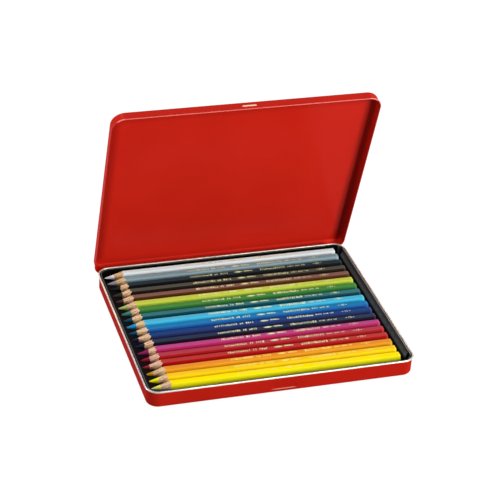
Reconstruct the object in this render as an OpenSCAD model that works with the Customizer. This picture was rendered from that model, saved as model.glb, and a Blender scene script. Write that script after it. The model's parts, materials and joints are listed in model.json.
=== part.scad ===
// Flat tin of eighteen coloured pencils, lid standing open.
// X runs along the pencils with the points at -X, Y from the front edge to the hinge, Z up.
// The origin is the middle of the base's underside. All sizes are in mm.

/* [Tin base] */
// Length over the middle of the rim curl
tin_length = 187; // [150:0.5:240]
// Width over the middle of the rim curl
tin_width = 155.5; // [60:0.5:200]
// Height of the middle of the rim curl above the table
rim_height = 12.5; // [11:0.1:20]
// Corner radius at the rim curl
corner_radius = 8.5; // [5:0.1:20]
// Thickness of the tinplate
sheet = 0.3; // [0.2:0.05:0.5]
// Outer radius of the rim curl
rim_curl = 0.6; // [0.45:0.05:1.2]
// Outer radius between the floor and the walls
base_fillet = 2; // [1:0.1:3]
// Depth of the finger recess in the front wall
recess_depth = 0.4; // [0:0.05:0.45]
// Height of the finger recess
recess_height = 3.8; // [2:0.1:5]
// Length of the finger recess
recess_length = 17.8; // [10:0.1:40]

/* [Lid] */
// How far the lid stands open, from closed
lid_open = 72.2; // [0:0.1:150]
// Free space between the rim curl and the lid's wall
lid_gap = 0.32; // [0.25:0.01:1]
// Free space between the rim curl and the closed lid's panel
lid_headroom = 0.5; // [0.3:0.05:2]
// Height from the middle of the lid's edge curl to the top of the panel
lid_depth = 7.36; // [5:0.02:12]
// Outer radius between the panel and the walls
lid_fillet = 2; // [1:0.1:2]
// Outer radius of the lid's edge curl
lid_curl = 0.42; // [0.35:0.01:0.8]
// Length of the raised grip on the lid's front wall
grip_length = 11.2; // [5:0.1:40]
// How far the grip stands out
grip_rise = 0.4; // [0.1:0.05:0.8]

/* [Hinge] */
// Distance of each hinge from the middle
hinge_offset = 55; // [30:0.5:75]
// Length of a hinge over its knuckles
hinge_length = 15.6; // [9:0.1:30]
// Radius of the hinge pin
pin_radius = 0.5; // [0.4:0.05:0.8]
// Outer radius of the knuckles
knuckle_radius = 1; // [0.9:0.05:1.2]
// Gap between neighbouring knuckles
knuckle_gap = 0.3; // [0.2:0.05:0.6]
// Hinge axis behind the base's wall
axis_behind_wall = 1.85; // [1.6:0.05:3]
// Hinge axis above the table
axis_height = 6.1; // [5.5:0.05:8]
// Thickness of the hinge leaves
leaf = 0.4; // [0.3:0.05:0.6]

/* [Tray] */
// Gap between the tray and the tin's wall
tray_gap = 0.5; // [0.45:0.05:1]
// Wall of the moulded tray
tray_wall = 0.8; // [0.5:0.05:1.2]
// Height of the bed that the pencils lie on
bed_height = 5.5; // [3:0.1:8]
// Height of the tray's upper edge
tray_height = 12.7; // [9:0.1:13]
// Start of the ramp at the pencils' blunt ends
ramp_start = 87.6; // [86:0.1:90]
// Height of the locating ribs above the bed
rib_rise = 1; // [0.5:0.1:1.5]

/* [Pencils] */
// How many pencils
pencils = 18; // [1:1:18]
// Spacing of the pencils
pencil_pitch = 8.12; // [8.1:0.01:8.6]
// Pencil thickness across the flats
across_flats = 7; // [6.5:0.05:7.2]
// Length from the point to the blunt end
pencil_length = 175; // [100:0.5:180]
// Middle of the points along X
point_x = -89.5; // [-91:0.1:-80]
// How far the row is set back from the middle
row_set_back = 1.2; // [-1:0.1:1.6]
// Half angle of the sharpened cone
point_angle = 15; // [10:0.5:20]
// Diameter of the coloured lead
lead_diameter = 3.8; // [2:0.1:4.2]
// Length of the flat left on the point
point_blunt = 0.5; // [0.2:0.1:2]

/* [Hidden] */
$fn = 72;

// Base: outer faces of the walls, inside the rim curl
wall_l = tin_length - 2 * (rim_curl - sheet);
wall_w = tin_width - 2 * (rim_curl - sheet);
wall_r = corner_radius - (rim_curl - sheet);
curl_slit = 0.05;

// Lid: outer faces of its walls, outside the rim curl
lid_l = tin_length + 2 * (rim_curl + lid_gap + sheet);
lid_w = tin_width + 2 * (rim_curl + lid_gap + sheet);
lid_r = corner_radius + rim_curl + lid_gap + sheet;
lid_top = rim_height + rim_curl + lid_headroom + sheet;
lid_edge = lid_top - lid_depth;
grip_height = 2.6;
grip_z = 9.3;

// Hinge
axis_y = wall_w / 2 + axis_behind_wall;
knuckle = (hinge_length - 2 * knuckle_gap) / 3;
pin_bore = pin_radius + 0.05;
pin_seat = pin_radius + 0.01;
pin_head = 0.4;
notch_half = hinge_length / 2 + 1.1;
notch_top = axis_height + knuckle_radius + 0.3;
leaf_top = 11.2;
leaf_bottom = 2.3;

// Tray
tray_l = wall_l - 2 * (sheet + tray_gap);
tray_w = wall_w - 2 * (sheet + tray_gap);
tray_r = wall_r - sheet - tray_gap;
skirt_bottom = 1.3;
tray_lip = 0.52;
rib_radius = 1.2;
foot = 1;
rail_width = 1.8;
rail_rise = 3;

// Pencils: the row lies on its flats, just clear of the bed
axis_z = bed_height + 0.1 + across_flats / 2;
hex_radius = across_flats / 2 / cos(30);
edge_radius = hex_radius - 0.12;
end_dome = 8;
end_cap = 1.6;

// Repeats a wall section round a rounded rectangle. In the section, x is outwards from the
// outline and y is up.
module sweep_round(l, w, r) {
    for (k = [0:3]) {
        hx = k % 2 == 0 ? l / 2 : w / 2;
        hy = k % 2 == 0 ? w / 2 : l / 2;
        rotate(90 * k) {
            translate([hx, 0, 0]) rotate([90, 0, 0])
                linear_extrude(2 * (hy - r), center = true) children();
            translate([hx - r, hy - r, 0])
                rotate_extrude(angle = 90) translate([r, 0]) children();
        }
    }
}

// Flat plate with rounded corners
module plate(l, w, r, h) {
    translate([-l / 2 + r, -w / 2, 0]) cube([l - 2 * r, w, h]);
    for (k = [0, 1]) rotate(180 * k) {
        translate([l / 2 - r, -w / 2 + r, 0]) cube([r, w - 2 * r, h]);
        translate([l / 2 - r, w / 2 - r, 0])
            rotate_extrude(angle = 90) square([r, h]);
        translate([l / 2 - r, -w / 2 + r, 0])
            rotate([0, 0, -90]) rotate_extrude(angle = 90) square([r, h]);
    }
}

// Section of a pressed wall that bends into a floor: upright sheet over a quarter bend
module pan_section(height, bend) {
    translate([-sheet, bend]) square([sheet, height - bend]);
    translate([-bend, bend]) intersection() {
        difference() {
            circle(bend);
            circle(bend - sheet);
        }
        translate([0, -bend]) square(bend);
    }
}

// Section of an edge rolled outwards, with the slit where the sheet ends
module curl_section(radius, height) {
    difference() {
        translate([radius - sheet, height]) difference() {
            circle(radius);
            circle(radius - sheet);
        }
        translate([curl_slit - 1, height - 1]) square([1, 1]);
    }
}

// Round-ended bar along X
module capsule(radius, length) {
    rotate([0, 90, 0]) cylinder(r = radius, h = length, center = true);
    for (s = [-1, 1]) translate([s * length / 2, 0, 0]) sphere(radius);
}

module base_shell() {
    round_r = (pow(recess_height / 2, 2) + pow(recess_depth, 2)) / (2 * recess_depth);
    straight = recess_length - recess_height;
    recess_z = 4.6;
    color("firebrick") difference() {
        union() {
            sweep_round(wall_l, wall_w, wall_r) pan_section(rim_height, base_fillet);
            plate(wall_l - 2 * base_fillet, wall_w - 2 * base_fillet,
                wall_r - base_fillet, sheet);
            intersection() {
                translate([0, -wall_w / 2 + recess_depth - round_r, recess_z])
                    capsule(round_r + sheet, straight);
                translate([-tin_length / 4, -wall_w / 2 + sheet / 2, base_fillet])
                    cube([tin_length / 2, 2, rim_height / 2]);
            }
        }
        translate([0, -wall_w / 2 + recess_depth - round_r, recess_z])
            capsule(round_r, straight);
    }
}

module base_rim() {
    color("gainsboro")
        sweep_round(wall_l, wall_w, wall_r) curl_section(rim_curl, rim_height);
}

// Everything of the lid is drawn closed and then swung open about the hinge pins
module swing() {
    translate([0, axis_y, axis_height]) rotate([-lid_open, 0, 0])
        translate([0, -axis_y, -axis_height]) children();
}

module hinge_notches() {
    for (s = [-1, 1])
        translate([s * hinge_offset - notch_half, lid_w / 2 - 1, notch_top - 4])
            cube([2 * notch_half, 3, 4]);
}

module lid_shell() {
    round_r = (pow(grip_height / 2, 2) + pow(grip_rise, 2)) / (2 * grip_rise);
    straight = grip_length - grip_height;
    grip_y = -lid_w / 2 - grip_rise + round_r;
    color("red") swing() difference() {
        union() {
            translate([0, 0, lid_top]) mirror([0, 0, 1]) {
                sweep_round(lid_l, lid_w, lid_r) pan_section(lid_depth, lid_fillet);
                plate(lid_l - 2 * lid_fillet, lid_w - 2 * lid_fillet,
                    lid_r - lid_fillet, sheet);
            }
            intersection() {
                translate([0, grip_y, grip_z]) capsule(round_r, straight);
                translate([-grip_length, -lid_w / 2 - 1, lid_edge + 1])
                    cube([2 * grip_length, 1 + sheet / 2, lid_depth - 2]);
            }
        }
        translate([0, grip_y, grip_z]) capsule(round_r - sheet, straight);
        hinge_notches();
    }
}

module lid_rim() {
    color("tomato") swing() difference() {
        translate([0, 0, lid_edge]) mirror([0, 0, 1])
            sweep_round(lid_l, lid_w, lid_r) curl_section(lid_curl, 0);
        hinge_notches();
    }
}

// A knuckle between two places along X, with a bore for the pin
module knuckle_ring(from, to, bore) {
    translate([from, axis_y, axis_height]) rotate([0, 90, 0]) difference() {
        cylinder(r = knuckle_radius, h = to - from);
        translate([0, 0, -1]) cylinder(r = bore, h = to - from + 2);
    }
}

// Leaf on the base's rear wall, with the two outer knuckles on their arms
module base_hinge(side) {
    color("silver") translate([side * hinge_offset, 0, 0]) {
        translate([-hinge_length / 2, wall_w / 2, leaf_bottom])
            cube([hinge_length, leaf, axis_height - knuckle_radius + leaf - leaf_bottom]);
        for (s = [0, 1]) mirror([s, 0, 0]) {
            start = hinge_length / 2 - knuckle;
            difference() {
                translate([start, wall_w / 2, axis_height - knuckle_radius + 0.05])
                    cube([knuckle, axis_behind_wall, leaf - 0.05]);
                translate([start - 1, axis_y, axis_height]) rotate([0, 90, 0])
                    cylinder(r = (knuckle_radius + pin_seat) / 2, h = knuckle + 2);
            }
            knuckle_ring(start, hinge_length / 2, pin_seat);
        }
    }
}

// Pin with a small head at each end, tight in the base's knuckles
module hinge_pin(side) {
    color("gray") translate([side * hinge_offset, axis_y, axis_height]) rotate([0, 90, 0]) {
        cylinder(r = pin_radius, h = hinge_length + 0.1, center = true);
        for (s = [-1, 1])
            translate([0, 0, s * (hinge_length / 2 + 0.05 + pin_head / 2)])
                cylinder(r = pin_radius + 0.25, h = pin_head, center = true);
    }
}

// Leaf on the lid's rear wall, with the middle knuckle under it
module lid_hinge(side) {
    color("silver") swing() translate([side * hinge_offset, 0, 0]) {
        translate([-hinge_length / 2, lid_w / 2, notch_top])
            cube([hinge_length, leaf, leaf_top - notch_top]);
        difference() {
            translate([-knuckle / 2, lid_w / 2, axis_height + pin_bore - 0.15])
                cube([knuckle, leaf, notch_top - axis_height - pin_bore + 0.25]);
            translate([-knuckle, axis_y, axis_height]) rotate([0, 90, 0])
                cylinder(r = (knuckle_radius + pin_bore) / 2, h = 2 * knuckle);
        }
        knuckle_ring(-knuckle / 2, knuckle / 2, pin_bore);
    }
}

// Moulded tray: skirt and wall with a rounded lip, raised bed on feet, ribs between the
// pencils, a rail along the front and a ramp behind the blunt ends
module tray_section() {
    translate([-tray_wall, skirt_bottom])
        square([tray_wall, tray_height - tray_lip - skirt_bottom]);
    translate([-tray_wall / 2, tray_height - tray_lip]) circle(tray_lip);
}

module pencil_tray() {
    inner_l = tray_l - 2 * tray_wall;
    inner_w = tray_w - 2 * tray_wall;
    row_y = function(i) row_set_back + (i - pencils / 2) * pencil_pitch;
    color("dimgray") {
        sweep_round(tray_l, tray_w, tray_r) tray_section();
        translate([0, 0, bed_height - tray_wall])
            plate(tray_l - tray_wall, tray_w - tray_wall, tray_r - tray_wall / 2, tray_wall);
        // Feet under every second rib carry the bed on the tin's floor
        for (i = [1:2:pencils]) translate([-inner_l / 2 + 4, row_y(i) - foot / 2, sheet])
            cube([inner_l - 8, foot, bed_height - tray_wall / 2 - sheet]);
        // Two bands of locating ribs
        for (x = [-62, 48]) translate([x, 0, 0]) rotate([90, 0, 90]) linear_extrude(9)
            intersection() {
                union() for (i = [0:pencils])
                    translate([row_y(i), bed_height + rib_rise - rib_radius])
                        circle(rib_radius);
                translate([-inner_w / 2, bed_height - tray_wall / 2])
                    square([inner_w, 4]);
            }
        translate([-inner_l / 2 + 8, -inner_w / 2 - tray_wall / 2, bed_height - tray_wall / 2])
            cube([inner_l - 16, rail_width + tray_wall / 2, rail_rise + tray_wall / 2]);
        translate([0, inner_w / 2 - 8, 0]) rotate([90, 0, 0]) linear_extrude(inner_w - 16)
            polygon([
                [ramp_start, bed_height - tray_wall / 2],
                [inner_l / 2 - 0.6, tray_height - tray_lip],
                [inner_l / 2 + tray_wall / 2, tray_height - tray_lip],
                [inner_l / 2 + tray_wall / 2, tray_height - 2],
                [ramp_start + 2, bed_height - tray_wall / 2]
            ]);
    }
}

function pencil_y(i) = row_set_back + (pencils / 2 + 0.5 - i) * pencil_pitch;

// A pencil's coordinate along its own axis starts at the sharp end of its cone
module place_pencil(i) {
    translate([point_x - point_blunt, pencil_y(i), axis_z]) rotate([0, 90, 0]) children();
}

// Hexagonal wood casing: sharpened cone, blunted edges, dipped round end, bore for the lead
module casing(i) {
    total = pencil_length + point_blunt;
    lead_r = lead_diameter / 2;
    cone = edge_radius / tan(point_angle);
    hue = (i - 1) / pencils;
    color([0.35 + 0.5 * hue, 0.3 + 0.5 * abs(sin(400 * hue)), 0.9 - 0.8 * hue])
        place_pencil(i) difference() {
            intersection() {
                rotate(30) cylinder(r = hex_radius, h = total, $fn = 6);
                rotate_extrude() intersection() {
                    polygon([[0, 0], [edge_radius, cone], [edge_radius, total], [0, total]]);
                    union() {
                        square([edge_radius + 1, total - end_dome / 2]);
                        translate([0, total - end_dome]) circle(end_dome);
                    }
                }
            }
            translate([0, 0, -1]) cylinder(r = lead_r, h = total - end_cap + 1);
        }
}

// Coloured lead, sharpened with the casing and stopping short of the dipped end
module lead(i) {
    lead_r = lead_diameter / 2;
    slope = tan(point_angle);
    color("khaki") place_pencil(i) rotate_extrude() polygon([
        [0, point_blunt], [point_blunt * slope, point_blunt],
        [lead_r, lead_r / slope],
        [lead_r, pencil_length + point_blunt - end_cap],
        [0, pencil_length + point_blunt - end_cap]
    ]);
}

base_shell();
base_rim();
pencil_tray();
base_hinge(-1);  // base_hinge_left
base_hinge(1);  // base_hinge_right
hinge_pin(-1);  // hinge_pin_left
hinge_pin(1);  // hinge_pin_right
lid_shell();
lid_rim();
lid_hinge(-1);  // lid_hinge_left
lid_hinge(1);  // lid_hinge_right
casing(1);  // pencil_01_casing
lead(1);  // pencil_01_lead
casing(2);  // pencil_02_casing
lead(2);  // pencil_02_lead
casing(3);  // pencil_03_casing
lead(3);  // pencil_03_lead
casing(4);  // pencil_04_casing
lead(4);  // pencil_04_lead
casing(5);  // pencil_05_casing
lead(5);  // pencil_05_lead
casing(6);  // pencil_06_casing
lead(6);  // pencil_06_lead
casing(7);  // pencil_07_casing
lead(7);  // pencil_07_lead
casing(8);  // pencil_08_casing
lead(8);  // pencil_08_lead
casing(9);  // pencil_09_casing
lead(9);  // pencil_09_lead
casing(10);  // pencil_10_casing
lead(10);  // pencil_10_lead
casing(11);  // pencil_11_casing
lead(11);  // pencil_11_lead
casing(12);  // pencil_12_casing
lead(12);  // pencil_12_lead
casing(13);  // pencil_13_casing
lead(13);  // pencil_13_lead
casing(14);  // pencil_14_casing
lead(14);  // pencil_14_lead
casing(15);  // pencil_15_casing
lead(15);  // pencil_15_lead
casing(16);  // pencil_16_casing
lead(16);  // pencil_16_lead
casing(17);  // pencil_17_casing
lead(17);  // pencil_17_lead
casing(18);  // pencil_18_casing
lead(18);  // pencil_18_lead
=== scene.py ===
import json
import math
import random
import bmesh
import bpy
from mathutils import Matrix, Vector, noise

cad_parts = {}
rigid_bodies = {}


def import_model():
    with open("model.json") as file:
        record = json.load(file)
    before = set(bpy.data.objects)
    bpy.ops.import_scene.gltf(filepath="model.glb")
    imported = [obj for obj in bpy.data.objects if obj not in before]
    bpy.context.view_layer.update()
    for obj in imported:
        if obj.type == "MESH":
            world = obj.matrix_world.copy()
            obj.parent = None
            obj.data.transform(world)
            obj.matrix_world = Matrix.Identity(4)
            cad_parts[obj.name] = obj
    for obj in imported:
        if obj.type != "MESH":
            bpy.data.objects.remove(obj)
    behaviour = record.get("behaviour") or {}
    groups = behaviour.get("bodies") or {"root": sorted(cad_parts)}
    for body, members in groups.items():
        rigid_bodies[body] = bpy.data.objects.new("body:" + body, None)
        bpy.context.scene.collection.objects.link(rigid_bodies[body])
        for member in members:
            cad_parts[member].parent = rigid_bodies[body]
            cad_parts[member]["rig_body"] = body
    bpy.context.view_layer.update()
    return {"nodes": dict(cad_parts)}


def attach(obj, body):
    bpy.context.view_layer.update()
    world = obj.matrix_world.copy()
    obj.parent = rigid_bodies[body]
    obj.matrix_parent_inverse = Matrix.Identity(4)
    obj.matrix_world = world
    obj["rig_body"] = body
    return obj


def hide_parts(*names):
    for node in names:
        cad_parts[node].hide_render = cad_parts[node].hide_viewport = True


# A flat tin of eighteen coloured pencils, lid standing open. Metres, points at -X, hinge at +Y.
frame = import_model()
mm = 0.001


def paint(red, green, blue):
    # screen colour, 0 to 255, as the linear colour that shaders want
    def linear(value):
        value /= 255
        return value / 12.92 if value <= 0.04045 else ((value + 0.055) / 1.055) ** 2.4
    return tuple(linear(value) for value in (red, green, blue))


def tint(colour, factor):
    return tuple(min(1.0, value * factor) for value in colour)


def addObject(name, data):
    made = bpy.data.objects.new(name, data)
    bpy.context.scene.collection.objects.link(made)
    return made


def addMesh(name, mesh, material):
    data = bpy.data.meshes.new(name)
    mesh.to_mesh(data)
    mesh.free()
    data.materials.append(material)
    return addObject(name, data)


tripod = {
    "position": (-0.341743, -1.004122, 0.709576),
    "right": (0.95678, -0.28531, 0.0563),
    "up": (0.10273, 0.51268, 0.85241),
    "back": (-0.27206, -0.80979, 0.51983),
    "lens": 130.656,
    "sensor": 36.0,
    "clip": (0.02, 30.0),
}


def setCamera():
    data = bpy.data.cameras.new("tripodCamera")
    data.lens, data.sensor_width, data.sensor_fit = tripod["lens"], tripod["sensor"], "HORIZONTAL"
    data.clip_start, data.clip_end = tripod["clip"]
    camera = addObject("tripodCamera", data)
    axes = Matrix((tripod["right"], tripod["up"], tripod["back"])).transposed()
    camera.matrix_world = Matrix.Translation(tripod["position"]) @ axes.to_4x4()
    bpy.context.scene.camera = camera


setCamera()
print("camera is set")


class Wire:
    # one output of a node; sums of wires and numbers become Math nodes
    def __init__(self, look, socket):
        self.look, self.socket = look, socket

    def __add__(self, other): return self.look.sum("ADD", self, other)
    def __radd__(self, other): return self.look.sum("ADD", other, self)
    def __sub__(self, other): return self.look.sum("SUBTRACT", self, other)
    def __rsub__(self, other): return self.look.sum("SUBTRACT", other, self)
    def __mul__(self, other): return self.look.sum("MULTIPLY", self, other)
    def __rmul__(self, other): return self.look.sum("MULTIPLY", other, self)
    def __pow__(self, other): return self.look.sum("POWER", self, other)
    def __gt__(self, other): return self.look.sum("GREATER_THAN", self, other)
    def __lt__(self, other): return self.look.sum("LESS_THAN", self, other)
    def __abs__(self): return self.look.sum("ABSOLUTE", self)


class Look:
    # a material or the world, and the few ways in which this scene adds nodes to it
    socketNames = {
        "baseColour": "Base Color", "roughness": "Roughness", "metallic": "Metallic", "normal": "Normal",
        "ior": "IOR", "specular": "Specular IOR Level",
        "coat": "Coat Weight", "coatRoughness": "Coat Roughness",
    }

    def __init__(self, owner):
        owner.use_nodes = True
        self.owner, self.tree = owner, owner.node_tree
        self.tree.nodes.clear()

    def node(self, kind, settings=None, sockets=None, out=0):
        made = self.tree.nodes.new(kind)
        for name, value in (settings or {}).items():
            if name == "stops":
                self.setStops(made.color_ramp.elements, value)
            else:
                setattr(made, name, value)
        for name, value in (sockets or {}).items():
            socket = made.inputs[name]
            if isinstance(value, Wire):
                self.tree.links.new(value.socket, socket)
            elif socket.type == "RGBA" and len(value) == 3:
                socket.default_value = (*value, 1)
            else:
                socket.default_value = value
        return Wire(self, made.outputs[out]) if made.outputs else made

    def setStops(self, ramp, stops):
        ramp[0].position, ramp[1].position = stops[0][0], stops[-1][0]
        for at, _ in stops[1:-1]:
            ramp.new(at)
        for element, (_, colour) in zip(ramp, stops):
            element.color = (*colour, 1)

    def sum(self, operation, *values):
        return self.node("ShaderNodeMath", {"operation": operation}, dict(enumerate(values)))

    def place(self, stretch=(1, 1, 1), shift=(0, 0, 0)):
        where = self.node("ShaderNodeTexCoord", out="Object")
        return self.node("ShaderNodeMapping", {}, {"Vector": where, "Scale": stretch, "Location": shift})

    def axis(self, name):
        where = self.node("ShaderNodeTexCoord", out="Object")
        return self.node("ShaderNodeSeparateXYZ", {}, {"Vector": where}, out=name)

    def grain(self, scale, detail, rough, stretch=(1, 1, 1), shift=(0, 0, 0), twist=0.0):
        return self.node("ShaderNodeTexNoise", {}, {
            "Vector": self.place(stretch, shift), "Scale": scale, "Detail": detail,
            "Roughness": rough, "Distortion": twist})

    def waves(self, direction, where, shape):
        return self.node("ShaderNodeTexWave", {"wave_type": "BANDS", "bands_direction": direction}, {
            "Vector": where, **shape}, out=1)

    def ease(self, value, low, high, start=0.0, end=1.0):
        return self.node("ShaderNodeMapRange", {"interpolation_type": "SMOOTHSTEP"}, {
            "Value": value, "From Min": low, "From Max": high, "To Min": start, "To Max": end})

    def fade(self, value, span, start=0.0, end=1.0):  # over a span in mm
        return self.ease(value, span[0] * mm, span[1] * mm, start, end)

    def mix(self, factor, first, second):
        return self.node("ShaderNodeMix", {"data_type": "RGBA"}, {0: factor, 6: first, 7: second}, out=2)

    def bump(self, height, strength, depth):
        return self.node("ShaderNodeBump", {}, {"Height": height, "Strength": strength, "Distance": depth})

    def surface(self, **sockets):
        shader = self.node("ShaderNodeBsdfPrincipled", {}, {
            self.socketNames[name]: value for name, value in sockets.items()})
        self.node("ShaderNodeOutputMaterial", {}, {"Surface": shader})
        return self.owner


# a grain keeps close to 0.5, so these are the low and the high value that show as nothing and as full
grainSpan = {"tone": (0.35, 0.7), "gloss": (0.3, 0.75), "fineGloss": (0.3, 0.7)}


def newLook(name):
    return Look(bpy.data.materials.new(name))


# each grain: waves to the metre, detail, roughness
tinLacquer = {
    "shades": {  # two for each part, between which it drifts; one red lacquer, the base's pair darker as painted shade and the lid's and edge's lighter as painted light
        "base": (paint(178, 28, 16), paint(171, 25, 14)),
        "lid": (paint(199, 35, 22), paint(194, 33, 19)),
        "edge": (paint(194, 34, 20), paint(188, 31, 17)),
    },
    "paintedShade": paint(160, 26, 17),  # painted shade in the lid's inner corners, on its inner walls, its outer bend and its front wall
    "wearAndHighlight": paint(244, 196, 168),  # painted highlight on the grip and on the recess's lower lip
    "hingeSideLight": paint(255, 62, 46),  # painted light on the lid's panel just above the hinge
    "crestHighlight": paint(255, 138, 126),  # painted highlight along the curl of the lid's front edge
    "unlit": paint(30, 14, 12),  # painted shade on the base's inner walls around the tray
    "cloud": (22.0, 2.0, 0.5),
    "peel": (1500.0, 2.0, 0.55),
    "handled": (75.0, 4.0, 0.65),
    "scuff": (160.0, 5.0, 0.7),
    "scuffSpan": (0.56, 0.74),
    "scuffDulls": 0.07,
    "dents": 0.2,  # share of the handled grain in the skin's height
    "peelStrength": 0.25,
    "peelDepth": 0.012 * mm,
    "gloss": (0.4, 0.5),
    "coat": {"base": 0.04, "lid": 0.1, "edge": 0.5},
    "coatRoughness": 0.18,
}

# in mm, but for the angle and the weights; a pair is where a mark starts to change and where it has changed
basePlace = {
    "halfLength": 93.05, "halfWidth": 77.3, "bend": 8.2,  # inner wall, seen from above
    "tray": 8.0,
    "recessLip": {"foot": (2.5, 2.8), "top": (3.1, 3.4), "ends": (5.0, 10.0), "wall": -76.8, "weight": 0.4},
}

lidPlace = {
    "open": math.radians(72.2),
    "axisY": 79.3, "axisZ": 6.1,
    "halfLength": 94.57, "halfWidth": 78.82, "bend": 9.0,  # middle of the sheet in the walls
    "panel": 13.75,
    "panelStart": (12.0, 13.5),
    "shadeSides": (3.0, 10.0),
    "shadeFront": (-71.5, -64.5), "shadeFrontWeight": 0.6,
    "shadeHinge": (66.0, 78.0),
    "hingeSideLight": (74.5, 76.4),
    "innerWall": 0.3, "wallShade": (-60.0, 50.0), "wallShadeWeights": (0.05, 0.85),
    "bendShade": (0.1, 2.2), "bendShadeHeight": (12.0, 13.6), "bendShadeWeight": 0.3,
    "frontShadeWeight": 0.4,
    "gripProud": 0.46, "gripHalf": 5.6,
    "crestFront": (-79.45, -79.2), "crestBack": (-76.0, -78.0), "crestWeight": 0.9,
}


def depthInside(look, x, y, place):
    # distance from a point to the nearest wall of a rounded rectangle, positive inside
    bend = place["bend"] * mm
    acrossX = look.sum("MAXIMUM", abs(x) - (place["halfLength"] * mm - bend), 0.0)
    acrossY = look.sum("MAXIMUM", abs(y) - (place["halfWidth"] * mm - bend), 0.0)
    return bend - (acrossX * acrossX + acrossY * acrossY) ** 0.5


def markBase(look, colour):
    x, y, z = look.axis("X"), look.axis("Y"), look.axis("Z")
    # painted shade on the inner walls above the tray's floor
    inside = (depthInside(look, x, y, basePlace) > 0) * (z > basePlace["tray"] * mm)
    colour = look.mix(inside, colour, tinLacquer["unlit"])
    # painted highlight along the lower lip of the finger recess
    lip = basePlace["recessLip"]
    polished = look.fade(z, lip["foot"]) * look.fade(z, lip["top"], 1.0, 0.0)
    polished = polished * look.fade(abs(x), lip["ends"], 1.0, 0.0) * (y < lip["wall"] * mm)
    return look.mix(lip["weight"] * polished, colour, tinLacquer["wearAndHighlight"])


def shutLid(look):
    # y and z of a point of the lid, as if it were shut
    axisY, axisZ = lidPlace["axisY"] * mm, lidPlace["axisZ"] * mm
    y, z = look.axis("Y") - axisY, look.axis("Z") - axisZ
    cosine, sine = math.cos(lidPlace["open"]), math.sin(lidPlace["open"])
    return axisY + cosine * y - sine * z, axisZ + sine * y + cosine * z


def markLid(look, colour):
    x, (y, z) = look.axis("X"), shutLid(look)
    place, paintedShade = lidPlace, tinLacquer["paintedShade"]
    toWall = depthInside(look, x, y, place)
    onPanel = (toWall > 0) * (z < place["panel"] * mm) * look.fade(z, place["panelStart"])
    # painted shade on the panel along its walls and its front, fading out near the hinge
    atSides = look.fade(toWall, place["shadeSides"], 1.0, 0.0)
    atFront = look.fade(y, place["shadeFront"], place["shadeFrontWeight"], 0.0)
    offHinge = look.fade(y, place["shadeHinge"], 1.0, 0.0)
    colour = look.mix(onPanel * offHinge * look.sum("MAXIMUM", atSides, atFront), colour, paintedShade)
    # painted light on the panel near the hinge
    colour = look.mix(onPanel * look.fade(y, place["hingeSideLight"]), colour, tinLacquer["hingeSideLight"])
    # painted shade on the lid's inner walls, deeper towards the hinge
    innerWall = (toWall > 0) * (toWall < place["innerWall"] * mm)
    innerWall = innerWall * look.fade(y, place["wallShade"], *place["wallShadeWeights"])
    colour = look.mix(innerWall, colour, paintedShade)
    # painted shade on the bend between the panel and the walls
    overBend = look.fade(toWall, place["bendShade"], 1.0, 0.0)
    overBend = overBend * look.fade(z, place["bendShadeHeight"], 0.0, place["bendShadeWeight"])
    colour = look.mix(overBend, colour, paintedShade)
    front = -place["halfWidth"] * mm
    # painted shade on the outside of the lid's front wall
    colour = look.mix(place["frontShadeWeight"] * (y < front), colour, paintedShade)
    # painted highlight on the grip
    grip = (y < front - place["gripProud"] * mm) * (abs(x) < place["gripHalf"] * mm)
    return look.mix(grip, colour, tinLacquer["wearAndHighlight"])


def markEdge(look, colour):
    y, _ = shutLid(look)
    # painted highlight along the top of the curl
    crestHighlight = look.fade(y, lidPlace["crestFront"]) * look.fade(y, lidPlace["crestBack"])
    return look.mix(lidPlace["crestWeight"] * crestHighlight, colour, tinLacquer["crestHighlight"])


def makeTinLacquer(name, part, addMarks):
    look = newLook(name)
    cloud, peel = look.grain(*tinLacquer["cloud"]), look.grain(*tinLacquer["peel"])
    handled = look.grain(*tinLacquer["handled"], shift=(3, 1, 2))
    scratches = look.grain(*tinLacquer["scuff"], stretch=(1, 6, 1), shift=(7, 2, 4))
    scuff = look.ease(scratches, *tinLacquer["scuffSpan"])
    colour = look.mix(look.ease(cloud, *grainSpan["tone"]), *tinLacquer["shades"][part])
    gloss = look.ease(handled, *grainSpan["gloss"], *tinLacquer["gloss"])
    return look.surface(
        baseColour=addMarks(look, colour),
        roughness=gloss + tinLacquer["scuffDulls"] * scuff,
        specular=0.0, ior=1.46,
        coat=tinLacquer["coat"][part], coatRoughness=tinLacquer["coatRoughness"],
        normal=look.bump(
            peel + tinLacquer["dents"] * handled, tinLacquer["peelStrength"], tinLacquer["peelDepth"]))


bareTin = {
    "bright": paint(232, 226, 206),
    "dull": paint(202, 197, 180),
    "rimShade": paint(186, 182, 184),  # painted shade on the front left corner and on the right end
    "cornerX": (-88.0, -60.0), "cornerY": (-45.0, 20.0), "rightEnd": (87.0, 92.0),  # in mm
    "rightEndWeight": 0.55,
    "drawn": (420.0, 4.0, 0.6),
    "blotch": (90.0, 3.0, 0.55),
    "metallic": 0.6,
    "gloss": (0.2, 0.36),
    "drawnStrength": 0.25, "drawnDepth": 0.01 * mm,
}


def makeBareTin():
    look = newLook("bareTinEdge")
    drawn = look.grain(*bareTin["drawn"], stretch=(0.15, 0.15, 1))
    blotch = look.grain(*bareTin["blotch"], shift=(1, 5, 2))
    colour = look.mix(look.ease(blotch, *grainSpan["tone"]), bareTin["bright"], bareTin["dull"])
    x, y = look.axis("X"), look.axis("Y")
    # painted shade at the front left corner and the right end
    corner = look.fade(x, bareTin["cornerX"], 1.0, 0.0) * look.fade(y, bareTin["cornerY"], 1.0, 0.0)
    rightEnd = bareTin["rightEndWeight"] * look.fade(x, bareTin["rightEnd"])
    return look.surface(
        baseColour=look.mix(look.sum("MAXIMUM", corner, rightEnd), colour, bareTin["rimShade"]),
        metallic=bareTin["metallic"],
        roughness=look.ease(drawn, *grainSpan["gloss"], *bareTin["gloss"]),
        normal=look.bump(drawn, bareTin["drawnStrength"], bareTin["drawnDepth"]))


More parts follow.
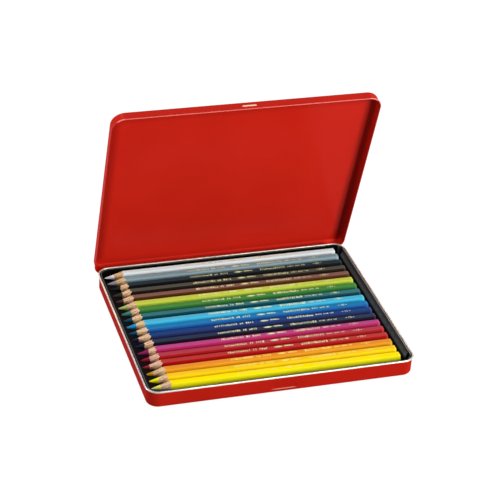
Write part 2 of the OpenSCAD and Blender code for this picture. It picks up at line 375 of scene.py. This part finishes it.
trayPlastic = {
    "plain": paint(4, 5, 6),
    # a worn tone that drifts at random
    "wearAndHighlight": paint(9, 11, 12),
    "lip": paint(70, 82, 80),  # painted highlight along the lip
    "endLip": paint(168, 170, 165),  # painted highlight on the lip behind the blunt ends
    "ramp": paint(86, 96, 98),  # painted sheen on the ramp behind the blunt ends
    "dust": paint(80, 80, 78),
    # in mm; the lip stays plain between the x of lipEnd and of endLipStart
    "lipHeight": 12.45, "lipEnd": 80.0, "endLipStart": 91.9,
    "rampHeight": 5.6, "rampFoot": (88.8, 89.7), "rampTop": (89.6, 91.2),
    "rampTopWeight": 0.15, "rampEven": 0.8, "rampDrift": 0.3,
    "pebble": (2600.0, 2.0, 0.5),
    "flow": (60.0, 4.0, 0.6), "flowSpan": (0.4, 0.75),
    "specks": (900.0, 3.0, 0.6), "speckSpan": (0.62, 0.8), "dustWeight": 0.15, "dustDulls": 0.1,
    "gloss": (0.34, 0.5),
    "pebbleStrength": 0.4, "pebbleDepth": 0.02 * mm,
}


def makeTrayPlastic():
    look = newLook("blackTrayPlastic")
    tray = trayPlastic
    pebble = look.grain(*tray["pebble"])
    flow = look.grain(*tray["flow"], stretch=(0.35, 1, 1))
    dust = look.ease(look.grain(*tray["specks"], shift=(4, 4, 1)), *tray["speckSpan"])
    colour = look.mix(look.ease(flow, *tray["flowSpan"]), tray["plain"], tray["wearAndHighlight"])
    x, z = look.axis("X"), look.axis("Z")
    # painted sheen on the ramp, fading towards its top
    ramp = look.fade(x, tray["rampFoot"]) * look.fade(x, tray["rampTop"], 1.0, tray["rampTopWeight"])
    ramp = ramp * (z > tray["rampHeight"] * mm) * (tray["rampEven"] + tray["rampDrift"] * flow)
    colour = look.mix(ramp, colour, tray["ramp"])
    # painted highlight on the lip, palest behind the blunt ends
    onLip = z > tray["lipHeight"] * mm
    colour = look.mix(onLip * (x < tray["lipEnd"] * mm), colour, tray["lip"])
    colour = look.mix(onLip * (x > tray["endLipStart"] * mm), colour, tray["endLip"])
    return look.surface(
        baseColour=look.mix(tray["dustWeight"] * dust, colour, tray["dust"]),
        roughness=look.ease(flow, *grainSpan["fineGloss"], *tray["gloss"]) + tray["dustDulls"] * dust,
        ior=1.5, specular=0.06,
        normal=look.bump(pebble, tray["pebbleStrength"], tray["pebbleDepth"]))


hingeSteel = {
    "bright": paint(190, 190, 186),
    "dull": paint(150, 150, 148),
    "drawn": (500.0, 4.0, 0.6),
    "spangle": (700.0, 2.0, 0.5), "spangleSpan": (0.4, 0.65),
    "gloss": (0.26, 0.42),
    "drawnStrength": 0.3, "drawnDepth": 0.012 * mm,
}


def makeHingeSteel():
    look = newLook("zincHingeSteel")
    drawn = look.grain(*hingeSteel["drawn"], stretch=(0.08, 1, 1))
    spangle = look.ease(look.grain(*hingeSteel["spangle"], shift=(2, 2, 2)), *hingeSteel["spangleSpan"])
    return look.surface(
        baseColour=look.mix(spangle, hingeSteel["bright"], hingeSteel["dull"]),
        metallic=1.0,
        roughness=look.ease(drawn, *grainSpan["fineGloss"], *hingeSteel["gloss"]),
        normal=look.bump(drawn, hingeSteel["drawnStrength"], hingeSteel["drawnDepth"]))


def dress(nodeNames, material):
    for name in nodeNames:
        slots = frame["nodes"][name].data.materials
        slots.clear()
        slots.append(material)


dress(["base_shell"], makeTinLacquer("redBaseLacquer", "base", markBase))
dress(["lid_shell"], makeTinLacquer("redLidLacquer", "lid", markLid))
dress(["lid_rim"], makeTinLacquer("redEdgeLacquer", "edge", markEdge))
dress(["base_rim"], makeBareTin())
dress(["pencil_tray"], makeTrayPlastic())
dress(["base_hinge_left", "base_hinge_right", "lid_hinge_left", "lid_hinge_right",
       "hinge_pin_left", "hinge_pin_right"], makeHingeSteel())
print("tin, tray and hinges are dressed")


barrelLacquer = {
    "cloud": (35.0, 3.0, 0.5), "cloudTint": 0.93,
    "ripple": (420.0, 2.0, 0.5),
    "handled": (140.0, 4.0, 0.65),
    # heights over the pencil's axis in mm
    # painted shade low on each pencil's sides, in the valleys between pencils
    "valleyShade": (0.4, 2.4), "valleyShadeTint": 0.35, "valleyShadeWeight": 0.45,
    "frontValleyShadeWeight": 0.05,  # the front pencil has no neighbour there
    # from here up the top flat takes its own colour, painted light and shade
    "topFlat": 3.22, "topFlatFade": 0.24,
    # painted highlight around the dipped end's rounded edge, in mm back from its tip
    "dipStart": (2.1, 1.5), "dipStop": (1.3, 0.7), "dipWeight": 0.3, "dipTint": 1.5, "dipLift": 0.12,
    "gloss": (0.38, 0.48),
    "dents": 0.3,  # share of the handled grain in the skin's height
    "rippleStrength": 0.3, "rippleDepth": 0.02 * mm,
}


def makeBarrelLacquer(name, colour, topFlatShading, valleyShadeWeight, seed):
    look = newLook(name + "PencilLacquer")
    lacquer = barrelLacquer
    cloud = look.grain(*lacquer["cloud"], stretch=(0.3, 1, 1), shift=(seed, 0, 0))
    ripple = look.grain(*lacquer["ripple"], stretch=(0.25, 1, 1), shift=(0, seed, 0))
    handled = look.grain(*lacquer["handled"], shift=(seed, seed, 1))
    x, z = look.axis("X"), look.axis("Z")

    def clouded(shade):
        return look.mix(look.ease(cloud, *grainSpan["tone"]), shade, tint(shade, lacquer["cloudTint"]))

    # painted shade low on the sides, where neighbouring pencils shade them
    low, high = (pencil["axisZ"] + height for height in lacquer["valleyShade"])
    valleyShade = look.fade(z, (low, high), valleyShadeWeight, 0.0)
    tone = look.mix(valleyShade, clouded(colour), tint(colour, lacquer["valleyShadeTint"]))
    # painted light and shade: the top flat has its own colour
    flatZ = pencil["axisZ"] + lacquer["topFlat"]
    tone = look.mix(look.fade(z, (flatZ, flatZ + lacquer["topFlatFade"])), tone, clouded(topFlatShading))
    # painted highlight near the blunt end
    starts, stops = ([pencil["bluntX"] - back for back in lacquer[key]] for key in ("dipStart", "dipStop"))
    dipped = lacquer["dipWeight"] * (look.fade(x, starts) * look.fade(x, stops, 1.0, 0.0))
    dipHighlight = tuple(min(1.0, lacquer["dipTint"] * value + lacquer["dipLift"]) for value in colour)
    return look.surface(
        baseColour=look.mix(dipped, tone, dipHighlight),
        roughness=look.ease(handled, *grainSpan["gloss"], *lacquer["gloss"]),
        ior=1.45, specular=0.06,
        normal=look.bump(
            ripple + lacquer["dents"] * handled, lacquer["rippleStrength"], lacquer["rippleDepth"]))


cedar = {
    "pale": (paint(232, 208, 164), paint(236, 199, 171)),  # yellowish and pinkish planks
    "mid": (paint(222, 190, 144), paint(224, 180, 150)),
    "dark": paint(164, 112, 72),
    "pore": paint(84, 50, 32),
    "stops": (0.25, 0.5, 0.85),
    "lines": (900.0, 4.0, 0.6), "lineShare": 0.6, "ringShare": 0.35,
    "rings": {"Scale": 260.0, "Distortion": 3.5, "Detail": 2.0, "Detail Scale": 1.2},
    "pores": (1500.0, 2.0, 0.5), "poreSpan": (0.54, 0.68), "poreWeight": 0.6,
    "shavings": {"Scale": 700.0, "Distortion": 1.2}, "shavingShare": 0.4,
    "roughness": 0.62, "lineRoughens": 0.2,
    "cutStrength": 0.5, "cutDepth": 0.03 * mm,
}


def makeCedar(name, plank, seed):
    look = newLook(name + "SharpenedCedar")
    lines = look.grain(*cedar["lines"], stretch=(0.09, 1, 1), shift=(seed, 0, 0), twist=0.3)
    rings = look.waves("Y", look.place((0.12, 1, 1.3), (0, 0, seed)), cedar["rings"])
    pores = look.grain(*cedar["pores"], stretch=(0.3, 1, 1), shift=(0, seed, 0))
    pores = look.ease(pores, *cedar["poreSpan"])
    shaved = look.waves("X", look.place((1, 0.05, 0.05)), cedar["shavings"])
    pale, mid = (tuple(a + (b - a) * plank for a, b in zip(*cedar[tone])) for tone in ("pale", "mid"))
    tone = look.node(
        "ShaderNodeValToRGB", {"stops": list(zip(cedar["stops"], (pale, mid, cedar["dark"])))},
        {0: cedar["lineShare"] * lines + cedar["ringShare"] * rings})
    return look.surface(
        baseColour=look.mix(cedar["poreWeight"] * pores, tone, cedar["pore"]),
        roughness=cedar["roughness"] + cedar["lineRoughens"] * lines,
        ior=1.4, specular=0.35,
        normal=look.bump(lines + cedar["shavingShare"] * shaved, cedar["cutStrength"], cedar["cutDepth"]))


waxLead = {
    "streak": (800.0, 3.0, 0.6), "streakTint": 0.8,
    "crumb": (3200.0, 2.0, 0.6), "crumbShare": 0.5,
    "gloss": (0.4, 0.6),
    "cutStrength": 0.4, "cutDepth": 0.02 * mm,
}


def makeWaxLead(name, colour, seed):
    look = newLook(name + "WaxLead")
    streak = look.grain(*waxLead["streak"], stretch=(0.2, 1, 1), shift=(0, 0, seed))
    crumb = look.grain(*waxLead["crumb"], shift=(seed, 0, 0))
    streaked = tint(colour, waxLead["streakTint"])
    return look.surface(
        baseColour=look.mix(look.ease(streak, *grainSpan["tone"]), colour, streaked),
        roughness=look.ease(crumb, *grainSpan["fineGloss"], *waxLead["gloss"]),
        ior=1.45, specular=0.12,
        normal=look.bump(
            streak + waxLead["crumbShare"] * crumb, waxLead["cutStrength"], waxLead["cutDepth"]))


pencil = {  # in mm
    "firstY": 70.22, "pitch": 8.12,  # row from the hinge side to the front
    "axisZ": 9.1,
    "apothem": 3.5, "edgeRadius": 0.78, "edgePoints": 5, "flatPoints": 5,
    "straightX": (-74.4, -60.0, -30.0, 0.0, 30.0, 60.0, 80.0),
    # ends hidden inside the pencil: x, radius
    "barrelInside": (-70.0, 1.2), "coneInside": (-71.0, 1.1), "leadInside": (-77.268, 0.9),
    "coat": 0.09,
    # the lacquer's edge over the cone: shift along x, and how many coats deep
    "coatEdge": ((0.05, 1.6), (-0.02, 0.7), (0.03, 0.2), (0.16, 0.0)),
    # scallops: share of those that a plain cone would cut, radius that keeps its place, unevenness
    "scallopDepth": 0.55, "scallopRadius": 3.72, "scallopWobble": 0.4,
    # blunt end: dipped, rounded at its edge, slightly domed
    "bluntX": 85.5, "dipLength": 1.3, "dipStep": (-0.1, 0.05), "dipSwell": 1.004,
    "endRound": 0.75, "roundSteps": 6, "roundLength": 0.8, "roundBack": 0.72,
    "domeRadius": 8.0, "domeRings": (0.94, 0.75, 0.5, 0.25),
    # sharpened end
    "apexX": -90.0, "halfAngle": math.radians(15), "coneSteps": 10,
    "coneUnder": (0.1, 1.2),  # start of the cone under the lacquer: shift along x, coats deep
    "coneCoats": 0.5,  # how far under the lacquer's outside the cone comes out, in coats
    "coneLip": (0.1, 0.5),  # where the cone ends on the lead: shift along x, depth
    "leadRadius": 1.9, "leadWobble": 0.26, "leadSteps": 8, "leadUnder": 0.12, "leadInset": 0.03,
    "pointX": -89.5, "tipWidth": 1.25, "tipLength": 0.9, "tipTurns": (25, 50, 72),
    "wobbleWaves": 1.6, "wobbleApart": 3.7,  # unevenness around a pencil, and between two pencils
    "sharp": math.radians(42),  # edges steeper than this stay crisp
}


def outline():
    # closed outline of the hexagon with rounded edges and a flat on top: (y, z) in mm
    edgeRadius, lastPoint = pencil["edgeRadius"], pencil["edgePoints"] - 1
    reach = (pencil["apothem"] - edgeRadius) / math.cos(math.radians(30))

    def edgePoint(middle, degrees):
        turn = middle + math.radians(degrees)
        return (reach * math.cos(middle) + edgeRadius * math.cos(turn),
                reach * math.sin(middle) + edgeRadius * math.sin(turn))

    points = []
    for corner in range(6):
        middle = math.radians(60 * corner)
        points += [edgePoint(middle, -30 + 60 * step / lastPoint) for step in range(pencil["edgePoints"])]
        start, end = points[-1], edgePoint(middle + math.radians(60), -30)
        for step in range(pencil["flatPoints"]):
            share = (step + 1) / (pencil["flatPoints"] + 1)
            points.append((start[0] + (end[0] - start[0]) * share, start[1] + (end[1] - start[1]) * share))
    return points


def loft(name, rings, material):
    # a closed skin over rings of equal count, each a list of (x, y, z) in metres, with both ends filled
    mesh = bmesh.new()
    rows = [[mesh.verts.new(point) for point in ring] for ring in rings]
    count = len(rows[0])
    for low, high in zip(rows, rows[1:]):
        for i in range(count):
            j = (i + 1) % count
            mesh.faces.new((low[i], high[i], high[j], low[j]))
    for row, back in ((rows[0], False), (rows[-1], True)):
        centre = mesh.verts.new(sum((v.co for v in row), Vector()) / count)
        for i in range(count):
            j = (i + 1) % count
            mesh.faces.new((row[j], row[i], centre) if back else (row[i], row[j], centre))
    bmesh.ops.recalc_face_normals(mesh, faces=mesh.faces)
    piece = addMesh(name, mesh, material)
    piece.data.shade_smooth()
    piece.data.set_sharp_from_angle(angle=pencil["sharp"])
    return piece


def coneX(radius):
    return pencil["apexX"] + radius / math.tan(pencil["halfAngle"])


def wobble(angle, seed, size):
    waves, apart = pencil["wobbleWaves"], pencil["wobbleApart"]
    return size * noise.noise(Vector((math.cos(angle) * waves, math.sin(angle) * waves, seed * apart)))


def pencilRings(index, seed, wear, extraLead):
    # the rings of barrel, cone and lead of one pencil, in metres in the shared frame
    y0, z0 = pencil["firstY"] - index * pencil["pitch"], pencil["axisZ"]
    shape = outline()
    angles = [math.atan2(z, y) for y, z in shape]
    radii = [math.hypot(y, z) for y, z in shape]
    count = len(angles)

    def ring(xs, sizes):
        return [(x * mm, (y0 + size * math.cos(a)) * mm, (z0 + size * math.sin(a)) * mm)
                for x, size, a in zip(xs, sizes, angles)]

    def circle(x, radius):
        return ring([x] * count, [radius] * count)

    def hexagon(x, sizes):
        return ring([x] * count, sizes)

    # shift of the lacquer's edge from where a cone cuts a hexagon, all around
    depth = pencil["scallopDepth"]
    middle = (1 - depth) * pencil["scallopRadius"]
    trim = [coneX(depth * r + middle) - coneX(r) + wobble(a, seed, pencil["scallopWobble"])
            for a, r in zip(angles, radii)]
    scallop = [coneX(r) + shift for r, shift in zip(radii, trim)]
    coat, endRound, bluntX = pencil["coat"], pencil["endRound"], pencil["bluntX"]
    barrel = [circle(*pencil["barrelInside"])]
    barrel += [ring([x + along for x in scallop], [r - coats * coat for r in radii])
               for along, coats in pencil["coatEdge"]]
    barrel += [hexagon(x, radii) for x in pencil["straightX"]]
    swollen = [r * pencil["dipSwell"] for r in radii]
    dipStart, (before, after) = bluntX - pencil["dipLength"], pencil["dipStep"]
    barrel += [hexagon(dipStart + before, radii), hexagon(dipStart + after, swollen)]

    def domeX(radius):
        return bluntX - (pencil["domeRadius"] - math.sqrt(pencil["domeRadius"] ** 2 - radius ** 2))

    edgeX = domeX(pencil["apothem"] - endRound) - endRound * pencil["roundBack"]
    for step in range(pencil["roundSteps"]):
        turn = math.radians(90 * step / pencil["roundSteps"])
        inset = endRound * (1 - math.cos(turn))
        x = edgeX + endRound * pencil["roundLength"] * math.sin(turn)
        barrel.append(hexagon(x, [r - inset for r in swollen]))
    for scale in pencil["domeRings"]:
        sizes = [(r - endRound) * scale for r in swollen]
        barrel.append(hexagon(domeX(sum(sizes) / count), sizes))

    lead = [pencil["leadRadius"] + extraLead + wobble(a, seed + 11, pencil["leadWobble"]) for a in angles]
    along, coats = pencil["coneUnder"]
    cone = [circle(*pencil["coneInside"]),
            ring([x + along for x in scallop], [r - coats * coat for r in radii])]
    under = pencil["coneCoats"] * coat
    for step in range(pencil["coneSteps"] + 1):
        share = step / pencil["coneSteps"]
        sizes = [(r - under) + (l - r + under) * share for r, l in zip(radii, lead)]
        xs = [coneX(size) + shift * (1 - share) ** 2 for size, shift in zip(sizes, trim)]
        cone.append(ring(xs, sizes))
    along, depth = pencil["coneLip"]
    cone.append(ring([coneX(l) + along for l in lead], [l - depth for l in lead]))

    tip = (pencil["pointX"] + wear - pencil["apexX"]) * math.tan(pencil["halfAngle"])
    tipWidth, tipLength = tip * pencil["tipWidth"], tip * pencil["tipLength"]
    under, inset = pencil["leadUnder"], pencil["leadInset"]
    point = [circle(*pencil["leadInside"]),
             ring([coneX(l) + under for l in lead], [l - under for l in lead])]
    for step in range(pencil["leadSteps"] + 1):
        share = step / pencil["leadSteps"]
        sizes = [(l - inset) + (tipWidth - l + inset) * share for l in lead]
        point.append(ring([coneX(size) for size in sizes], sizes))
    for degrees in pencil["tipTurns"]:
        turn = math.radians(degrees)
        point.append(circle(coneX(tipWidth) - tipLength * math.sin(turn), tipWidth * math.cos(turn)))
    return barrel, cone, point


foil = {  # in mm
    "pale": (paint(224, 242, 188), paint(196, 212, 138)),
    "deep": (paint(250, 236, 124), paint(232, 208, 84)),
    "deepOn": ("orange", "goldenYellow", "lemonYellow"),
    "blotch": (600.0, 4.0, 0.65),
    "gloss": (0.3, 0.48),
    "lift": 0.012, "sink": 0.02,  # top and underside, from the pencil's flat
    "offset": 0.25,  # middle of the marks from the pencil's middle
    "seed": 400,
    # rows of plain shapes: from, to, spacing, height, places of the gaps counted in shapes
    "rows": [
        (-30.0, -1.2, 1.5, 1.9, (11, 14)),
        (22.4, 42.0, 1.62, 2.2, ()),
        (43.5, 57.5, 0.95, 1.25, (5, 10)),
    ],
    "widths": (0.58, 0.86),  # of a shape, in spacings
    "lens": (2.6, 9.4, 1.7), "lensSteps": 12,  # from, to, height
    "rule": (10.2, 16.6, 0.7),
    "shortRule": (1.6, 0.85, 1.25),  # how much shorter, from and to in heights of the long one
    "number": (66.2, 2.2), "numberScale": 1.3, "numberBold": 0.03,  # middle, size
    "dash": (2.0, 3.3, 0.2),  # on both sides of the number: from, to, half its height
}

# plain shapes in a cell one wide and one high
shapes = [
    [(0.0, -0.5), (1.0, -0.5), (1.0, 0.5), (0.0, 0.5)],
    [(0.0, -0.5), (1.0, -0.5), (1.0, 0.1), (0.0, 0.1)],
    [(0.1, -0.5), (0.6, -0.5), (0.95, 0.5), (0.45, 0.5)],
    [(0.0, 0.0), (0.5, -0.5), (1.0, 0.0), (0.5, 0.5)],
    [(0.0, -0.5), (1.0, -0.5), (0.75, 0.5), (0.25, 0.5)],
    [(0.28, -0.5), (0.72, -0.5), (0.72, 0.5), (0.28, 0.5)],
]


def makeFoil(name, shades):
    look = newLook(name)
    blotch = look.grain(*foil["blotch"])
    return look.surface(
        baseColour=look.mix(look.ease(blotch, *grainSpan["tone"]), *shades),
        metallic=0.0,
        roughness=look.ease(blotch, *grainSpan["fineGloss"], *foil["gloss"]),
        ior=1.5)


def addPatch(mesh, points, low, high):
    # a thin closed plate over a flat outline of (x, y) in mm
    top = [mesh.verts.new((x * mm, y * mm, high * mm)) for x, y in points]
    under = [mesh.verts.new((x * mm, y * mm, low * mm)) for x, y in points]
    mesh.faces.new(top)
    mesh.faces.new(under[::-1])
    for i in range(len(points)):
        j = (i + 1) % len(points)
        mesh.faces.new((top[i], under[i], under[j], top[j]))


def addNumber(mesh, words, middleX, middleY, size, low, high):
    text = bpy.data.curves.new("plainNumber", "FONT")
    text.body, text.align_x, text.align_y = words, "CENTER", "CENTER"
    text.size = size * mm * foil["numberScale"]
    text.extrude = (high - low) * mm / 2
    text.offset = foil["numberBold"] * mm
    text.resolution_u = 3
    holder = addObject("plainNumber", text)
    bpy.context.view_layer.update()
    flat = bpy.data.meshes.new_from_object(holder.evaluated_get(bpy.context.evaluated_depsgraph_get()))
    flat.transform(Matrix.Translation((middleX * mm, middleY * mm, (low + high) * mm / 2)))
    mesh.from_mesh(flat)
    bpy.data.meshes.remove(flat)
    bpy.data.objects.remove(holder)
    bpy.data.curves.remove(text)


def makeMarks(name, index, material):
    random.seed(foil["seed"] + index)
    mesh = bmesh.new()
    y = pencil["firstY"] - index * pencil["pitch"] + foil["offset"]
    flatZ = pencil["axisZ"] + pencil["apothem"]
    low, high = flatZ - foil["sink"], flatZ + foil["lift"]

    def bar(x0, x1, y0, y1):
        addPatch(mesh, [(x0, y0), (x1, y0), (x1, y1), (x0, y1)], low, high)

    for start, end, spacing, height, gaps in foil["rows"]:
        for step in range(int((end - start) / spacing)):
            shape, width = random.choice(shapes), spacing * random.uniform(*foil["widths"])
            if step not in gaps:
                x = start + step * spacing
                addPatch(mesh, [(x + width * u, y + height * v) for u, v in shape], low, high)
    start, end, height = foil["lens"]
    shares = [step / foil["lensSteps"] for step in range(foil["lensSteps"] + 1)]
    upper = [(start + (end - start) * share, y + height / 2 * math.sin(math.pi * share)) for share in shares]
    lower = [(x, 2 * y - v) for x, v in upper[1:-1]]
    addPatch(mesh, (upper + lower[::-1])[::-1], low, high)
    start, end, height = foil["rule"]
    bar(start, end, y - height / 2, y + height / 2)
    shorter, lowShare, highShare = foil["shortRule"]
    bar(start, end - shorter, y + height * lowShare, y + height * highShare)
    middleX, size = foil["number"]
    addNumber(mesh, f"{index + 1:02d}", middleX, y, size, low, high)
    near, far, half = foil["dash"]
    bar(middleX - far, middleX - near, y - half, y + half)
    bar(middleX + near, middleX + far, y - half, y + half)
    bmesh.ops.recalc_face_normals(mesh, faces=mesh.faces)
    return addMesh(name, mesh, material)


# name, barrel, lead, wear of the point and extra width of the bared lead (both in mm),
# top flat painted lighter or darker than the facets as painted light and shade, how pink the cedar is
pencilColours = [
    ("white", paint(240, 255, 255), paint(255, 255, 255), 0.1, 0.1, paint(220, 255, 255), -0.5),
    ("grey", paint(152, 186, 192), paint(163, 169, 183), 0.5, 0.1, paint(124, 162, 170), -0.5),
    ("black", paint(2, 2, 2), paint(11, 14, 16), 0.6, 0.4, paint(34, 56, 64), 0.3),
    ("darkUmber", paint(29, 13, 2), paint(52, 48, 44), 0.4, 0.15, paint(74, 79, 70), 0.0),
    ("russet", paint(82, 43, 2), paint(74, 45, 47), 0.8, -0.05, paint(123, 92, 82), 0.3),
    ("yellowGreen", paint(197, 222, 67), paint(188, 207, 119), 0.9, 0.1, paint(190, 205, 79), 0.1),
    ("green", paint(49, 122, 52), paint(67, 132, 123), 1.1, 0.4, paint(68, 133, 59), 0.4),
    ("blueGreen", paint(2, 66, 76), paint(7, 72, 94), 0.7, 0.1, paint(49, 113, 121), 0.1),
    ("lightBlue", paint(61, 201, 238), paint(33, 152, 210), 0.9, 0.3, paint(74, 176, 208), -0.1),
    ("blue", paint(28, 98, 173), paint(7, 74, 112), 0.7, 0.0, paint(22, 119, 176), 0.2),
    ("ultramarine", paint(36, 47, 97), paint(15, 22, 76), 0.5, -0.3, paint(25, 62, 124), 0.4),
    ("navy", paint(18, 2, 23), paint(15, 18, 47), 0.8, 0.25, paint(36, 52, 79), 0.5),
    ("magenta", paint(190, 36, 100), paint(137, 30, 93), 0.9, 0.45, paint(173, 70, 129), 0.7),
    ("carmine", paint(178, 24, 27), paint(144, 7, 50), 0.9, 0.1, paint(170, 59, 75), 1.3),
    ("red", paint(169, 2, 2), paint(163, 31, 48), 0.4, -0.4, paint(181, 55, 52), 1.1),
    ("orange", paint(232, 160, 25), paint(204, 148, 10), 1.0, -0.25, paint(225, 143, 46), 0.0),
    ("goldenYellow", paint(246, 209, 4), paint(255, 251, 7), 1.0, 0.2, paint(239, 195, 35), 0.4),
    ("lemonYellow", paint(255, 245, 2), paint(255, 255, 118), 0.5, 0.0, paint(253, 226, 3), 0.5),
]

paleFoil, deepFoil = makeFoil("paleGoldFoil", foil["pale"]), makeFoil("deepGoldFoil", foil["deep"])
for index, pencilColour in enumerate(pencilColours):
    colourName, barrelColour, leadColour, wear, extraLead, topFlatShading, plank = pencilColour
    label = f"pencil_{index + 1:02d}"
    seed = 0.61 * index + 0.3
    barrelRings, coneRings, pointRings = pencilRings(index, seed, wear, extraLead)
    isFront = index == len(pencilColours) - 1
    valleyShadeWeight = barrelLacquer["frontValleyShadeWeight" if isFront else "valleyShadeWeight"]
    lacquer = makeBarrelLacquer(colourName, barrelColour, topFlatShading, valleyShadeWeight, seed)
    barrel = loft(label + "_barrel", barrelRings, lacquer)
    cone = loft(label + "_cone", coneRings, makeCedar(colourName, plank, seed))
    point = loft(label + "_point", pointRings, makeWaxLead(colourName, leadColour, seed))
    marks = makeMarks(label + "_foil", index, deepFoil if colourName in foil["deepOn"] else paleFoil)
    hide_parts(label + "_casing")
    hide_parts(label + "_casing")
    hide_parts(label + "_lead")
    for piece in (barrel, cone, point, marks):
        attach(piece, label)
print("pencils are made")


studio = {
    "ambient": 0.2,
    "paper": 1.25,  # what the camera adds to the floor, so that it ends up white
    "paperShare": 0.75,
    "paperTones": ((0.46, 0.46, 0.46), (0.48, 0.48, 0.48)),
    "fibre": (300.0, 3.0, 0.6),
    "floorHalf": 6.0,
    "floorDrop": 0.2 * mm,  # under the tin
    "softboxes": [  # name, place, aim, size, power
        ("rightFront", (0.95, -1.3, 0.38), (0, 0, 0.05), 0.9, 28.0),
        ("overhead", (0.25, -0.1, 1.3), (0, 0, 0), 0.5, 5.0),
        ("leftBack", (-1.3, 0.4, 0.3), (0, 0, 0.05), 0.4, 9.7),
        ("backTop", (-0.25, 0.75, 1.0), (0, 0, 0), 0.5, 6.0),
    ],
    "passesLid": "backTop",  # the lid casts no shadow from this one
}


def seenDirectly(look):
    # 1 for rays from the camera and for what shows in gloss or glass, otherwise 0
    camera, glossy, transmitted = (
        look.node("ShaderNodeLightPath", out=name)
        for name in ("Is Camera Ray", "Is Glossy Ray", "Is Transmission Ray"))
    return look.node("ShaderNodeClamp", {}, {0: camera + glossy + transmitted})


def makeWorld():
    world = bpy.data.worlds.new("studioWorld")
    bpy.context.scene.world = world
    sky = Look(world)
    strength = studio["ambient"] + (1 - studio["ambient"]) * seenDirectly(sky)
    light = sky.node("ShaderNodeBackground", {}, {"Color": (1, 1, 1), "Strength": strength})
    sky.node("ShaderNodeOutputWorld", {}, {"Surface": light})


def makeFloor():
    paper = newLook("studioPaper")
    tone = paper.mix(paper.grain(*studio["fibre"]), *studio["paperTones"])
    matt = paper.node("ShaderNodeBsdfDiffuse", {}, {"Color": tone})
    glow = paper.node("ShaderNodeEmission", {}, {"Color": (1, 1, 1), "Strength": studio["paper"]})
    both = paper.node("ShaderNodeMixShader", {}, {
        0: studio["paperShare"] * seenDirectly(paper), 1: matt, 2: glow})
    paper.node("ShaderNodeOutputMaterial", {}, {"Surface": both})
    mesh = bmesh.new()
    bmesh.ops.create_grid(mesh, x_segments=8, y_segments=8, size=studio["floorHalf"])
    floor = addMesh("studioFloor", mesh, paper.owner)
    floor.data.transform(Matrix.Translation((0, 0, -studio["floorDrop"])))


def makeSoftboxes():
    for name, position, target, size, power in studio["softboxes"]:
        lamp = bpy.data.lights.new(name, "AREA")
        lamp.shape, lamp.size, lamp.energy = "DISK", size, power
        holder = addObject(name, lamp)
        holder.location = position
        holder.rotation_euler = (Vector(target) - Vector(position)).to_track_quat("-Z", "Y").to_euler()
    passLid = bpy.data.collections.new("lidLetsThrough")
    for node in frame["nodes"].values():
        if node["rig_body"] == "lid":
            passLid.objects.link(node)
    for member in passLid.collection_objects:
        member.light_linking.link_state = "EXCLUDE"
    bpy.data.objects[studio["passesLid"]].light_linking.blocker_collection = passLid


makeWorld()
makeFloor()
makeSoftboxes()
bpy.context.scene.view_settings.view_transform = "Standard"
print("studio is lit")
